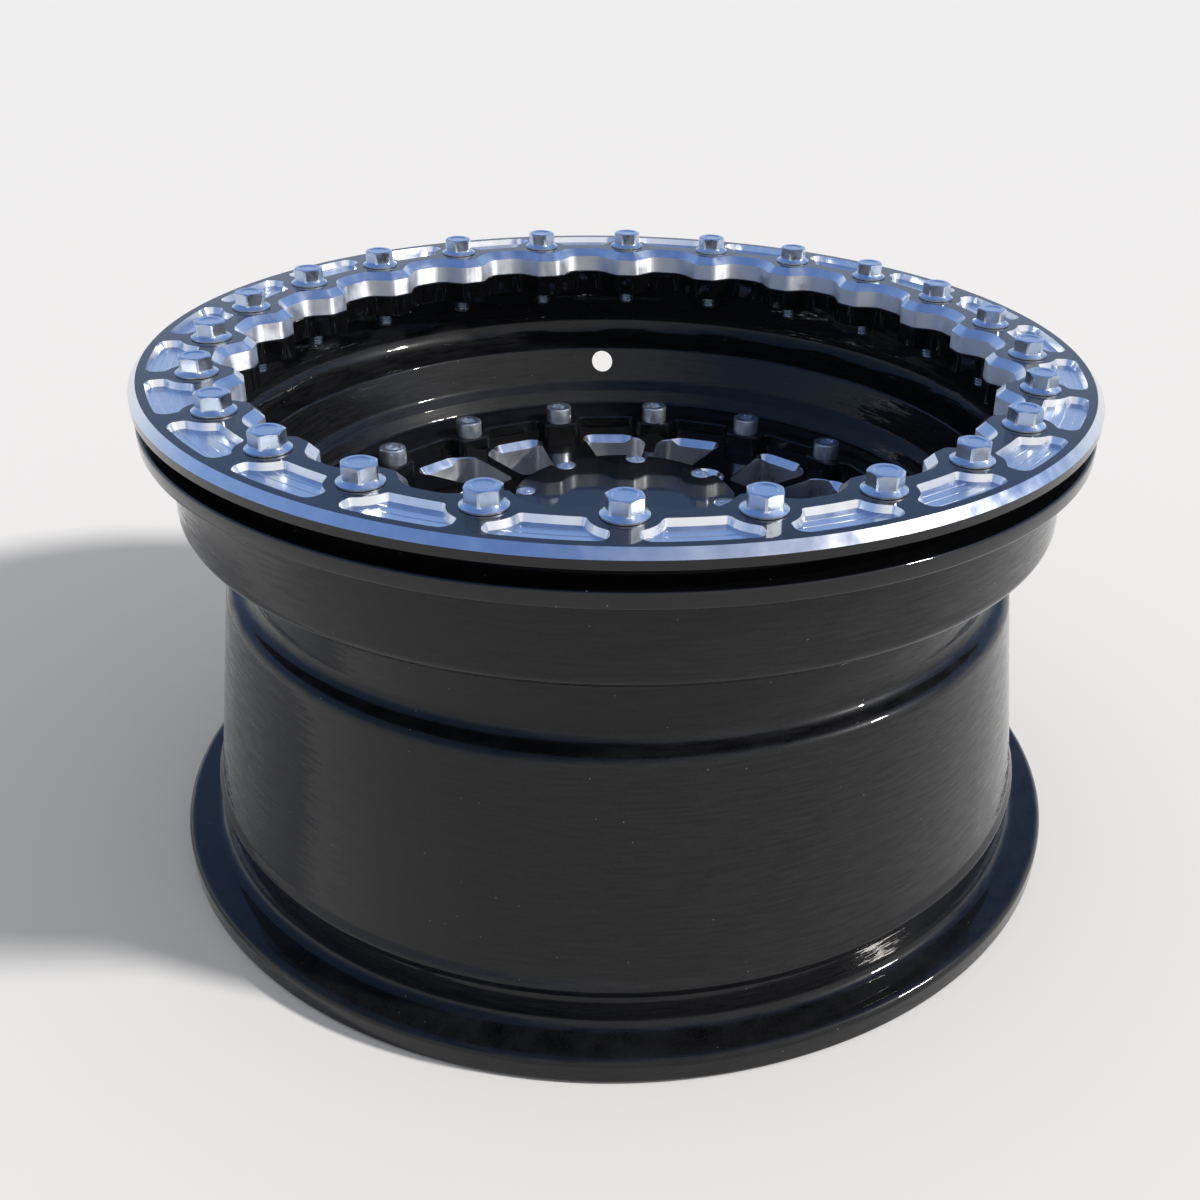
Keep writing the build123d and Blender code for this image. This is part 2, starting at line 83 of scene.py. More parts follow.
def makeBlackCoat(name, sizes):
    material, tree = startMaterial(name)
    place = addNode(tree, "ShaderNodeTexCoord").outputs["Object"]
    peel = addNode(tree, "ShaderNodeTexNoise", {
        "Vector": place, "Scale": 1 / (sizes["peelSize"] * mm), "Detail": 2.0}).outputs[0]
    mirror = addNode(tree, "ShaderNodeBump", {
        "Height": peel, "Strength": 1.0, "Distance": sizes["peelDepth"] * mm}).outputs[0]
    grain = addNode(tree, "ShaderNodeTexNoise", {
        "Vector": place, "Scale": 1 / (sizes["grain"] * mm), "Detail": 1.0}).outputs[0]
    # roller marks tilt the surface sideways in rows and leave flat faces true
    if sizes["spinTilt"]:
        around, upwards = 1 / (sizes["spinLength"] * mm), 1 / (sizes["spinHeight"] * mm)
        stretch = addNode(tree, "ShaderNodeMapping", {"Vector": place, "Scale": (around, around, upwards)}).outputs[0]
        rows = addNode(tree, "ShaderNodeTexNoise", {
            "Vector": stretch, "Scale": 1.0, "Detail": 4.0, "Roughness": 0.6}).outputs[0]
        lean = addNode(tree, "ShaderNodeMapRange", {
            "Value": rows, "To Min": -sizes["spinTilt"], "To Max": sizes["spinTilt"]}).outputs[0]
        straight = addNode(tree, "ShaderNodeNewGeometry").outputs["Normal"]
        level = addNode(tree, "ShaderNodeVectorMath", {0: (0.0, 0.0, 1.0), 1: straight},
                        operation="CROSS_PRODUCT").outputs[0]
        sideways = addNode(tree, "ShaderNodeVectorMath", {0: level, "Scale": lean}, operation="SCALE").outputs[0]
        leaning = addNode(tree, "ShaderNodeVectorMath", {0: mirror, 1: sideways}, operation="ADD").outputs[0]
        mirror = addNode(tree, "ShaderNodeVectorMath", {0: leaning}, operation="NORMALIZE").outputs[0]
        grain = addNode(tree, "ShaderNodeMix", {0: sizes["spinShare"], 2: grain, 3: rows}).outputs[0]
    rough = addNode(tree, "ShaderNodeMapRange", {
        "Value": grain, "From Min": sizes["grainLow"], "From Max": sizes["grainHigh"],
        "To Min": sizes["roughLeast"] * sizes["sheenRough"],
        "To Max": sizes["roughMost"] * sizes["sheenRough"]}).outputs[0]
    # painted sheen: the grain, mixed on the shells with the roller rows, lightens the black base colour in flecks and
    # streaks
    sheenStreak = addNode(tree, "ShaderNodeMapRange", {
        "Value": grain, "From Min": sizes["grainLow"], "From Max": sizes["grainHigh"]}).outputs[0]
    black = addNode(tree, "ShaderNodeMix", {
        0: sheenStreak, 6: linearColour(sizes["base"]), 7: linearColour(sizes["paleSheen"])}, data_type="RGBA").outputs[2]
    # dust, one speck to a cell
    cells = addNode(tree, "ShaderNodeTexVoronoi", {
        "Vector": place, "Scale": 1 / (sizes["dustSpacing"] * mm)}).outputs["Distance"]
    speck = addNode(tree, "ShaderNodeMath", {0: cells, 1: sizes["dustSize"] / sizes["dustSpacing"]},
                    operation="LESS_THAN").outputs[0]
    colour = addNode(tree, "ShaderNodeMix", {0: speck, 6: black, 7: linearColour(sizes["dust"])},
                     data_type="RGBA").outputs[2]
    shader = addNode(tree, "ShaderNodeBsdfPrincipled", {
        "Base Color": colour, "Roughness": rough, "Specular IOR Level": sizes["sheen"], "Coat Weight": sizes["gloss"],
        "Coat Roughness": sizes["glossRough"], "Coat IOR": sizes["index"], "Coat Normal": mirror})
    addNode(tree, "ShaderNodeOutputMaterial", {"Surface": shader.outputs[0]})
    return material


# bare machined aluminium: bright, with marks that follow the turning or milling cutter
turnedMetal = dict(colour="#f1f2f5", dark="#d5d9e0", roughness=0.2, roughLeast=0.75, roughMost=1.35,
                   stretch=0.0, stretchTurn=0.25, blotch=7.0, blotchLow=0.3, blotchHigh=0.7,
                   turned=True, markAcross=0.6, markDepth=0.0016)
milledEdge = dict(turnedMetal, roughness=0.52, stretch=0.8, turned=False, markAcross=1.2, markDepth=0.05)
milledWall = dict(milledEdge, roughness=0.3, stretch=0.75, markAcross=1.6, markDepth=0.02, blotch=20.0)
milledFloor = dict(turnedMetal, roughness=0.21, markAcross=0.8,
                   ridges=(182.0, 186.2, 190.4), ridgeHalf=0.42, ridgeHeight=0.1)


def makeBareMetal(name, sizes):
    material, tree = startMaterial(name)
    place = addNode(tree, "ShaderNodeTexCoord").outputs["Object"]
    axes = addNode(tree, "ShaderNodeSeparateXYZ", {0: place})
    flatPlace = addNode(tree, "ShaderNodeCombineXYZ", {0: axes.outputs[0], 1: axes.outputs[1]}).outputs[0]
    radius = addNode(tree, "ShaderNodeVectorMath", {0: flatPlace}, operation="LENGTH").outputs["Value"]
    # turning marks run round the axis, milling marks stand upright
    if sizes["turned"]:
        across = addNode(tree, "ShaderNodeCombineXYZ", {0: radius, 1: axes.outputs[2]}).outputs[0]
    else:
        across = flatPlace
    # marks are drawn coarser than the cutter's real feed so that they show
    marks = addNode(tree, "ShaderNodeTexNoise", {
        "Vector": across, "Scale": 1 / (sizes["markAcross"] * mm), "Detail": 2.0}, noise_dimensions="2D").outputs[0]
    blotch = addNode(tree, "ShaderNodeTexNoise", {
        "Vector": place, "Scale": 1 / (sizes["blotch"] * mm), "Detail": 4.0}).outputs[0]
    height = addNode(tree, "ShaderNodeMath", {0: marks, 1: sizes["markDepth"] * mm}, operation="MULTIPLY").outputs[0]
    # cutter passes leave a thin ridge at each of these radii
    for ridge in sizes.get("ridges", ()):
        offset = addNode(tree, "ShaderNodeMath", {0: radius, 1: ridge * mm}, operation="SUBTRACT").outputs[0]
        distance = addNode(tree, "ShaderNodeMath", {0: offset}, operation="ABSOLUTE").outputs[0]
        crest = addNode(tree, "ShaderNodeMapRange", {
            "Value": distance, "From Max": sizes["ridgeHalf"] * mm,
            "To Min": sizes["ridgeHeight"] * mm, "To Max": 0.0}).outputs[0]
        height = addNode(tree, "ShaderNodeMath", {0: height, 1: crest}, operation="ADD").outputs[0]
    colour = addNode(tree, "ShaderNodeMix", {
        0: blotch, 6: linearColour(sizes["dark"]), 7: linearColour(sizes["colour"])}, data_type="RGBA").outputs[2]
    rough = addNode(tree, "ShaderNodeMapRange", {
        "Value": blotch, "From Min": sizes["blotchLow"], "From Max": sizes["blotchHigh"],
        "To Min": sizes["roughness"] * sizes["roughLeast"],
        "To Max": sizes["roughness"] * sizes["roughMost"]}).outputs[0]
    bump = addNode(tree, "ShaderNodeBump", {"Height": height, "Strength": 1.0, "Distance": 1.0}).outputs[0]
    around = addNode(tree, "ShaderNodeTangent", direction_type="RADIAL", axis="Z").outputs[0]
    shader = addNode(tree, "ShaderNodeBsdfPrincipled", {
        "Base Color": colour, "Metallic": 1.0, "Roughness": rough, "Normal": bump, "Anisotropic": sizes["stretch"],
        "Anisotropic Rotation": sizes["stretchTurn"], "Tangent": around})
    addNode(tree, "ShaderNodeOutputMaterial", {"Surface": shader.outputs[0]})
    return material


# bright zinc plate with a blue passivate: smooth, slightly clouded steel
zincPlate = dict(colour="#dde7f2", cloud="#c3cedd", roughness=0.3, roughLeast=0.8, roughMost=1.25,
                 cloudSize=4.0, cloudLow=0.3, cloudHigh=0.7, grain=0.5, grainDepth=0.0015)
# the socket screws are a little paler and more satin
screwPlate = dict(zincPlate, colour="#e9eff6", cloud="#d3dbe6", roughness=0.37)


def makeZincPlate(name, sizes):
    material, tree = startMaterial(name)
    place = addNode(tree, "ShaderNodeTexCoord").outputs["Object"]
    cloud = addNode(tree, "ShaderNodeTexNoise", {
        "Vector": place, "Scale": 1 / (sizes["cloudSize"] * mm), "Detail": 5.0}).outputs[0]
    grain = addNode(tree, "ShaderNodeTexNoise", {
        "Vector": place, "Scale": 1 / (sizes["grain"] * mm), "Detail": 2.0}).outputs[0]
    colour = addNode(tree, "ShaderNodeMix", {
        0: cloud, 6: linearColour(sizes["cloud"]), 7: linearColour(sizes["colour"])}, data_type="RGBA").outputs[2]
    rough = addNode(tree, "ShaderNodeMapRange", {
        "Value": cloud, "From Min": sizes["cloudLow"], "From Max": sizes["cloudHigh"],
        "To Min": sizes["roughness"] * sizes["roughLeast"],
        "To Max": sizes["roughness"] * sizes["roughMost"]}).outputs[0]
    bump = addNode(tree, "ShaderNodeBump", {
        "Height": grain, "Strength": 1.0, "Distance": sizes["grainDepth"] * mm}).outputs[0]
    shader = addNode(tree, "ShaderNodeBsdfPrincipled", {
        "Base Color": colour, "Metallic": 1.0, "Roughness": rough, "Normal": bump})
    addNode(tree, "ShaderNodeOutputMaterial", {"Surface": shader.outputs[0]})
    return material


coatMaterial = makeBlackCoat("glossBlackPowderCoat", blackCoat)
shellMaterial = makeBlackCoat("spunShellPowderCoat", spunCoat)
turnedMaterial = makeBareMetal("turnedAluminium", turnedMetal)
edgeMaterial = makeBareMetal("milledEdgeAluminium", milledEdge)
wallMaterial = makeBareMetal("milledWallAluminium", milledWall)
floorMaterial = makeBareMetal("milledPocketAluminium", milledFloor)
zincMaterial = makeZincPlate("bluePassivatedZinc", zincPlate)
screwMaterial = makeZincPlate("satinZinc", screwPlate)
print("materials made")


def polarPoint(radius, angle):
    return Vector((radius * math.cos(math.radians(angle)), radius * math.sin(math.radians(angle))))


def besideLine(radius, offset, angle):
    along = math.sqrt(radius ** 2 - offset ** 2)
    return polarPoint(radius, angle + math.degrees(math.atan2(offset, along)))


def roundedPath(corners, closed=True, step=7.0):
    # corners are x, y and the radius of the bend there, which is drawn in steps of so many degrees
    points = []
    for i, (x, y, rounding) in enumerate(corners):
        here = Vector((x, y))
        if rounding <= 0 or (not closed and i in (0, len(corners) - 1)):
            points.append(here)
            continue
        toHere = here - Vector(corners[i - 1][:2])
        fromHere = Vector(corners[(i + 1) % len(corners)][:2]) - here
        inWay, outWay = toHere.normalized(), fromHere.normalized()
        cross = inWay.x * outWay.y - inWay.y * outWay.x
        turn = math.atan2(cross, inWay.dot(outWay))
        if abs(turn) < tiny:
            points.append(here)
            continue
        tangent = rounding * math.tan(abs(turn) / 2)
        if rounding == smoothCurve:
            tangent = smoothShare * min(toHere.length, fromHere.length)
        radius = tangent / math.tan(abs(turn) / 2)
        start = here - inWay * tangent
        side = 1 if turn > 0 else -1
        centre = start + Vector((-inWay.y, inWay.x)) * radius * side
        pieces = max(2, math.ceil(math.degrees(abs(turn)) / step))
        for k in range(pieces + 1):
            arm = start - centre
            arm.rotate(Matrix.Rotation(turn * k / pieces, 2))
            points.append(centre + arm)
    clean = [p for i, p in enumerate(points) if i == 0 or (p - points[i - 1]).length > tiny]
    if closed and (clean[0] - clean[-1]).length < tiny:
        clean.pop()
    return clean


def divided(points, longest):
    # extra points on the straight runs of a loop
    result = []
    for a, b in zip(points, points[1:] + points[:1]):
        pieces = max(1, math.ceil((b - a).length / longest))
        result += [a.lerp(b, k / pieces) for k in range(pieces)]
    return result


def braced(points, closed=True, near=0.5):
    # a point close to each end of a long run keeps its reflection straight
    result = []
    last = len(points) if closed else len(points) - 1
    for i in range(last):
        a, b = points[i], points[(i + 1) % len(points)]
        length = (b - a).length
        result.append(a)
        if length > 5 * near:
            result += [a.lerp(b, near / length), a.lerp(b, 1 - near / length)]
    return result if closed else result + [points[-1]]


def shifted(points, distance, closed=True, leastCosine=0.5):
    # parallel line to the right of a path; on a loop drawn anticlockwise that is outside it
    result = []
    count = len(points)
    for i, here in enumerate(points):
        before = points[i - 1] if closed or i else None
        after = points[(i + 1) % count] if closed or i < count - 1 else None
        ways = [w.normalized() for w in ([here - before] if before else []) + ([after - here] if after else [])]
        sides = [Vector((w.y, -w.x)) for w in ways]
        middle = sum(sides, Vector((0, 0))).normalized()
        result.append(here + middle * distance / max(leastCosine, middle.dot(sides[0])))
    return result


def startMesh():
    bm = bmesh.new()
    bm.faces.layers.int.new("finish")
    return bm


def paint(bm, faces, finish):
    # a finish is the place of a material in the piece's list
    layer = bm.faces.layers.int["finish"]
    for face in faces:
        face[layer] = finish


def ringOfPoints(bm, path, height):
    heights = height if isinstance(height, list) else [height] * len(path)
    return [bm.verts.new((p.x, p.y, z)) for p, z in zip(path, heights)]


def circleRow(bm, radius, angles, height):
    radii = radius if isinstance(radius, list) else [radius] * len(angles)
    return ringOfPoints(bm, [polarPoint(r, a) for r, a in zip(radii, angles)], height)


def wall(bm, lower, upper, finish=0, closed=False):
    last = len(lower) if closed else len(lower) - 1
    faces = []
    for i in range(last):
        j = (i + 1) % len(lower)
        faces.append(bm.faces.new((lower[i], lower[j], upper[j], upper[i])))
    paint(bm, faces, finish)


def spin(bm, profile, angles, finishes=0):
    # profile of radius and height, swept through the angles; one finish for all or for each run of the profile
    rows = [circleRow(bm, r, angles, z) for r, z in profile]
    for i in range(len(rows) - 1):
        wall(bm, rows[i], rows[i + 1], finishes[i] if isinstance(finishes, tuple) else finishes)
    return rows


def tube(bm, rows):
    for lower, upper in zip(rows, rows[1:]):
        wall(bm, lower, upper, closed=True)


def flat(bm, loops, finish=0):
    edges = []
    for loop in loops:
        for a, b in zip(loop, loop[1:] + loop[:1]):
            edges.append(bm.edges.get((a, b)) or bm.edges.new((a, b)))
    made = bmesh.ops.triangle_fill(bm, use_beauty=True, use_dissolve=False, edges=edges, normal=(0, 0, 1))
    paint(bm, [g for g in made["geom"] if isinstance(g, bmesh.types.BMFace)], finish)


def storeMesh(bm, name):
    mesh = bpy.data.meshes.new(name)
    bm.to_mesh(mesh)
    bm.free()
    mesh.transform(Matrix.Scale(mm, 4))
    piece = bpy.data.objects.new(name, mesh)
    scene.collection.objects.link(piece)
    return piece


def repeatTree(name, materials):
    # instances of the incoming mesh around the Z axis, set out from a circle and turned about themselves
    tree = bpy.data.node_groups.new(name, "GeometryNodeTree")
    tree.interface.new_socket(name="Geometry", in_out="INPUT", socket_type="NodeSocketGeometry")
    inputs = (("Count", "NodeSocketInt"), ("First Angle", "NodeSocketFloat"), ("Circle Radius", "NodeSocketFloat"),
              ("Height", "NodeSocketFloat"), ("Loose Turn", "NodeSocketFloat"), ("Seed", "NodeSocketInt"))
    for label, kind in inputs:
        tree.interface.new_socket(name=label, in_out="INPUT", socket_type=kind)
    tree.interface.new_socket(name="Geometry", in_out="OUTPUT", socket_type="NodeSocketGeometry")
    given = addNode(tree, "NodeGroupInput").outputs
    index = addNode(tree, "GeometryNodeInputIndex").outputs[0]
    pitch = addNode(tree, "ShaderNodeMath", {0: 2 * math.pi, 1: given["Count"]}, operation="DIVIDE").outputs[0]
    angle = addNode(tree, "ShaderNodeMath", {0: index, 1: pitch, 2: given["First Angle"]},
                    operation="MULTIPLY_ADD").outputs[0]
    cosine = addNode(tree, "ShaderNodeMath", {0: angle}, operation="COSINE").outputs[0]
    sine = addNode(tree, "ShaderNodeMath", {0: angle}, operation="SINE").outputs[0]
    x = addNode(tree, "ShaderNodeMath", {0: cosine, 1: given["Circle Radius"]}, operation="MULTIPLY").outputs[0]
    y = addNode(tree, "ShaderNodeMath", {0: sine, 1: given["Circle Radius"]}, operation="MULTIPLY").outputs[0]
    spot = addNode(tree, "ShaderNodeCombineXYZ", {0: x, 1: y, 2: given["Height"]}).outputs[0]
    loose = addNode(tree, "FunctionNodeRandomValue", {
        "Max": given["Loose Turn"], "ID": index, "Seed": given["Seed"]}, data_type="FLOAT")
    looseValue = [s for s in loose.outputs if s.enabled][0]
    turned = addNode(tree, "ShaderNodeMath", {0: angle, 1: looseValue}, operation="ADD").outputs[0]
    euler = addNode(tree, "ShaderNodeCombineXYZ", {2: turned}).outputs[0]
    rotation = addNode(tree, "FunctionNodeEulerToRotation", {0: euler}).outputs[0]
    points = addNode(tree, "GeometryNodePoints", {"Count": given["Count"], "Position": spot}).outputs[0]
    placed = addNode(tree, "GeometryNodeInstanceOnPoints", {
        "Points": points, "Instance": given["Geometry"], "Rotation": rotation}).outputs[0]
    real = addNode(tree, "GeometryNodeRealizeInstances", {0: placed}).outputs[0]
    shape = addNode(tree, "GeometryNodeMergeByDistance", {"Geometry": real, "Distance": weldGap}).outputs[0]
    finish = addNode(tree, "GeometryNodeInputNamedAttribute", {"Name": "finish"}, data_type="INT").outputs[0]
    for number, material in enumerate(materials):
        same = addNode(tree, "FunctionNodeCompare", data_type="INT", operation="EQUAL")
        first, second = [s for s in same.inputs if s.enabled][:2]
        tree.links.new(finish, first)
        second.default_value = number
        shape = addNode(tree, "GeometryNodeSetMaterial", {
            "Geometry": shape, "Selection": same.outputs[0], "Material": material}).outputs[0]
    addNode(tree, "NodeGroupOutput", {0: shape})
    return tree


def repeatAround(piece, materials, count, firstAngle=0.0, circle=0.0, height=0.0, looseTurn=0.0, seed=0):
    tree = repeatTree(piece.name + "Pattern", materials)
    modifier = piece.modifiers.new("pattern", "NODES")
    modifier.node_group = tree
    values = {"Count": count, "First Angle": math.radians(firstAngle), "Circle Radius": circle * mm,
              "Height": height * mm, "Loose Turn": math.radians(looseTurn), "Seed": seed}
    for item in tree.interface.items_tree:
        if item.item_type == "SOCKET" and item.in_out == "INPUT" and item.name in values:
            modifier[item.identifier] = values[item.name]
    makePlain(piece)


def makePlain(piece):
    # evaluated shape becomes the piece's own mesh
    shaped = piece.evaluated_get(bpy.context.evaluated_depsgraph_get())
    mesh = bpy.data.meshes.new_from_object(shaped)
    piece.modifiers.clear()
    piece.data = mesh


def finishPiece(piece, node, sharpAngle=28.0):
    bm = bmesh.new()
    bm.from_mesh(piece.data)
    bmesh.ops.recalc_face_normals(bm, faces=bm.faces)
    bm.to_mesh(piece.data)
    bm.free()
    piece.data.shade_smooth()
    piece.data.set_sharp_from_angle(angle=math.radians(sharpAngle))
    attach(piece, "root")
    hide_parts(node)
    print("made", piece.name, len(piece.data.polygons), "faces")


def sectorAngles(pitch, steps):
    return [-pitch / 2 + pitch * k / steps for k in range(steps + 1)]


def lugValley(lugs, pitch):
    # inner edge from the middle of one lug, over the valley, to the middle of the next
    a, b = -pitch / 2, pitch / 2
    noseMiddle = math.sqrt(lugs["nose"] ** 2 - lugs["noseHalf"] ** 2)
    return roundedPath([
        (*polarPoint(noseMiddle, a), 0),
        (*besideLine(lugs["nose"], lugs["noseHalf"], a), lugs["corner"]),
        (*besideLine(lugs["valley"], lugs["rootHalf"], a), lugs["root"]),
        (*besideLine(lugs["valley"], -lugs["rootHalf"], b), lugs["root"]),
        (*besideLine(lugs["nose"], -lugs["noseHalf"], b), lugs["corner"]),
        (*polarPoint(noseMiddle, b), 0)], closed=False)


# clamp ring: black face, bright turned chamfers, bright lugged inner wall and milled pockets
clampRing = dict(face=112.0, bottom=100.7, lipBottom=104.9, register=187.5, rim=201.2, rimChamfer=3.2, rimBreak=0.4,
                 edgeChamfer=3.4, lugBreak=0.35, bolts=24, firstBolt=6.75, boltCircle=175.0, steps=10)
ringLugs = dict(nose=157.8, valley=167.0, noseHalf=5.0, rootHalf=14.0, corner=5.0, root=9.0)
ringPocket = dict(inner=177.0, outer=194.6, land=12.5, rib=4.7, outerCorner=4.5, innerCorner=2.2, depth=2.6,
                  wallRun=1.1, bendStep=9.0)


def pocketOutline(ring, pocket):
    bolt = 180 / ring["bolts"]
    reach = ring["boltCircle"]
    land, rib = pocket["land"], pocket["rib"]
    ribTop = besideLine(pocket["outer"], -rib, bolt)
    outerEnd = math.degrees(math.atan2(ribTop.y, ribTop.x))
    ribAlong = reach + math.sqrt(land ** 2 - rib ** 2)
    ribFoot = besideLine(math.hypot(ribAlong, rib), -rib, bolt)
    # each arc is given by points at its thirds
    landStart = math.asin(rib / land)
    landEnd = math.acos((pocket["inner"] ** 2 - reach ** 2 - land ** 2) / (2 * reach * land))
    centre = polarPoint(reach, bolt)
    upper = []
    for k in (1, 2, 3):
        angle = landStart + (landEnd - landStart) * k / 3
        upper.append(centre + polarPoint(land, bolt - math.degrees(angle)))
    innerEnd = math.degrees(math.atan2(upper[2].y, upper[2].x))
    half = [(*polarPoint(pocket["outer"], outerEnd * k / 3), smoothCurve) for k in (1, 2)]
    half += [(*ribTop, pocket["outerCorner"]), (*ribFoot, pocket["innerCorner"]),
             (*upper[0], smoothCurve), (*upper[1], smoothCurve), (*upper[2], pocket["innerCorner"]),
             (*polarPoint(pocket["inner"], innerEnd / 3), smoothCurve)]
    other = [(x, -y, r) for x, y, r in reversed(half)]
    return roundedPath([(pocket["outer"], 0.0, smoothCurve)] + half + other, step=pocket["bendStep"])


def makeClampRing(ring, lugs, pocket):
    coat, chamfer, pocketFloor, lugWall = range(4)  # finishes, in the order of the materials below
    bm = startMesh()
    pitch = 360 / ring["bolts"]
    face, bottom, lipBottom = ring["face"], ring["bottom"], ring["lipBottom"]
    rim, register = ring["rim"], ring["register"]
    profile = [(rim - ring["rimChamfer"], face), (rim, face - ring["rimChamfer"]),
               (rim, lipBottom + ring["rimBreak"]), (rim - ring["rimBreak"], lipBottom),
               (register, lipBottom), (register, bottom)]
    rows = spin(bm, profile, sectorAngles(pitch, ring["steps"]), (chamfer, coat, coat, coat, coat))
    edge = lugValley(lugs, pitch)
    top = ringOfPoints(bm, shifted(edge, ring["edgeChamfer"], closed=False), face)
    middle = ringOfPoints(bm, edge, face - ring["edgeChamfer"])
    low = ringOfPoints(bm, edge, bottom + ring["lugBreak"])
    under = ringOfPoints(bm, shifted(edge, ring["lugBreak"], closed=False), bottom)
    wall(bm, middle, top, chamfer)
    wall(bm, low, middle, lugWall)
    wall(bm, under, low, lugWall)
    outline = pocketOutline(ring, pocket)
    brim = ringOfPoints(bm, outline, face)
    floorLoop = ringOfPoints(bm, shifted(outline, -pocket["wallRun"]), face - pocket["depth"])
    wall(bm, floorLoop, brim, chamfer, closed=True)
    flat(bm, [floorLoop], pocketFloor)
    flat(bm, [rows[0] + top[::-1], brim], coat)
    flat(bm, [rows[-1] + under[::-1]], coat)
    piece = storeMesh(bm, "clampRing")
    materials = (coatMaterial, turnedMaterial, floorMaterial, edgeMaterial)
    repeatAround(piece, materials, ring["bolts"], ring["firstBolt"] + pitch / 2)
    finishPiece(piece, "beadlock_ring")


makeClampRing(clampRing, ringLugs, ringPocket)

# base ring: same lugs in black, with the lip that the tyre bead is clamped against
baseRing = dict(top=100.7, bottom=90.7, lipTop=97.5, register=187.5, lip=200.5, lipRound=1.2, lipUnder=4.0,
                lugBreak=0.4, bendStep=20.0, steps=10)


def makeBaseRing(base, ring, lugs):
    bm = startMesh()
    pitch = 360 / ring["bolts"]
    profile = roundedPath([
        (base["register"], base["top"], 0), (base["register"], base["lipTop"], 0),
        (base["lip"], base["lipTop"], base["lipRound"]), (base["lip"], base["bottom"], base["lipRound"]),
        (base["lip"] - base["lipUnder"], base["bottom"], 0)], closed=False, step=base["bendStep"])
    rows = spin(bm, profile, sectorAngles(pitch, base["steps"]))
    edge = lugValley(lugs, pitch)
    bevelled = shifted(edge, base["lugBreak"], closed=False)
    top = ringOfPoints(bm, bevelled, base["top"])
    high = ringOfPoints(bm, edge, base["top"] - base["lugBreak"])
    low = ringOfPoints(bm, edge, base["bottom"] + base["lugBreak"])
    under = ringOfPoints(bm, bevelled, base["bottom"])
    for lower, upper in ((high, top), (low, high), (under, low)):
        wall(bm, lower, upper)
    flat(bm, [rows[0] + top[::-1]])
    flat(bm, [rows[-1] + under[::-1]])
    piece = storeMesh(bm, "baseRing")
    repeatAround(piece, (coatMaterial,), ring["bolts"], ring["firstBolt"] + pitch / 2)
    finishPiece(piece, "beadlock_base_ring")


makeBaseRing(baseRing, clampRing, ringLugs)

# outer rim half: spun drum, ledge, slanted wall and the lugged mounting flange
outerHalf = dict(screws=16, seam=25.3, flange=30.5, flangeRoot=154.0, flangeBend=3.0,
                 shoulder=157.5, shoulderTop=37.0, shoulderBend=1.0, foot=161.4, footTop=41.5, footBend=5.0,
                 wallTop=167.8, wallThick=5.0, wallBend=2.0, ledge=58.5, drumIn=184.0, drumOut=190.0, drumTop=90.7,
                 drumBottom=54.0, innerBend=13.0, outerBend=5.0, underside=55.6, well=167.0, wellBend=4.0,
                 join=149.0, lugBreak=0.7, steps=16)
flangeLugs = dict(nose=124.5, valley=134.5, noseHalf=8.5, rootHalf=11.5, corner=4.0, root=4.0)
valveHole = dict(radius=5.7, drop=7.2, angle=101.25, drill=30.0, segments=48)


def makeOuterHalf(half, lugs, valve):
    slope = math.atan2(half["wallTop"] - half["foot"], half["ledge"] - half["footTop"])
    outside = half["wallThick"] / math.cos(slope)
    undersideRadius = half["foot"] + (half["underside"] - half["footTop"]) * math.tan(slope) + outside
    breakHeight = half["footTop"] + (half["well"] - half["foot"] - outside) / math.tan(slope)
    profile = braced(roundedPath([
        (half["join"], half["flange"], 0), (half["flangeRoot"], half["flange"], half["flangeBend"]),
        (half["shoulder"], half["shoulderTop"], half["shoulderBend"]),
        (half["foot"], half["footTop"], half["footBend"]), (half["wallTop"], half["ledge"], half["wallBend"]),
        (half["drumIn"], half["ledge"], half["innerBend"]), (half["drumIn"], half["drumTop"], 0),
        (half["drumOut"], half["drumTop"], 0), (half["drumOut"], half["drumBottom"], half["outerBend"]),
        (undersideRadius, half["underside"], 0), (half["well"], breakHeight, half["wellBend"]),
        (half["well"], half["seam"], 0), (half["join"], half["seam"], 0)], closed=False), closed=False)
    bm = startMesh()
    pitch = 360 / half["screws"]
    rows = spin(bm, profile, sectorAngles(pitch, half["steps"]))
    edge = lugValley(lugs, pitch)
    top = ringOfPoints(bm, shifted(edge, half["lugBreak"], closed=False), half["flange"])
    high = ringOfPoints(bm, edge, half["flange"] - half["lugBreak"])
    low = ringOfPoints(bm, edge, half["seam"])
    wall(bm, high, top)
    wall(bm, low, high)
    flat(bm, [rows[0] + top[::-1]])
    flat(bm, [rows[-1] + low[::-1]])
    piece = storeMesh(bm, "outerRimHalf")
    repeatAround(piece, (shellMaterial,), half["screws"], pitch / 2)
    # the valve hole is drilled square to the slanted wall
    height = half["ledge"] - valve["drop"]
    centre = polarPoint(half["foot"] + (height - half["footTop"]) * math.tan(slope), valve["angle"])
    way = polarPoint(math.cos(slope), valve["angle"])
    aim = Vector((way.x, way.y, -math.sin(slope))).to_track_quat("Z", "Y").to_matrix().to_4x4()
    drill = bmesh.new()
    bmesh.ops.create_cone(drill, cap_ends=True, segments=valve["segments"], radius1=valve["radius"],
                          radius2=valve["radius"], depth=valve["drill"])
    drill.transform(Matrix.Translation((centre.x, centre.y, height)) @ aim)
    cutter = bpy.data.objects.new("valveDrill", bpy.data.meshes.new("valveDrill"))
    drill.to_mesh(cutter.data)
    drill.free()
    cutter.data.transform(Matrix.Scale(mm, 4))
    scene.collection.objects.link(cutter)
    bpy.context.view_layer.update()
    cut = piece.modifiers.new("valveHole", "BOOLEAN")
    cut.object = cutter
    cut.solver = "EXACT"
    makePlain(piece)
    bpy.data.objects.remove(cutter)
    finishPiece(piece, "outer_rim_half")


makeOuterHalf(outerHalf, flangeLugs, valveHole)

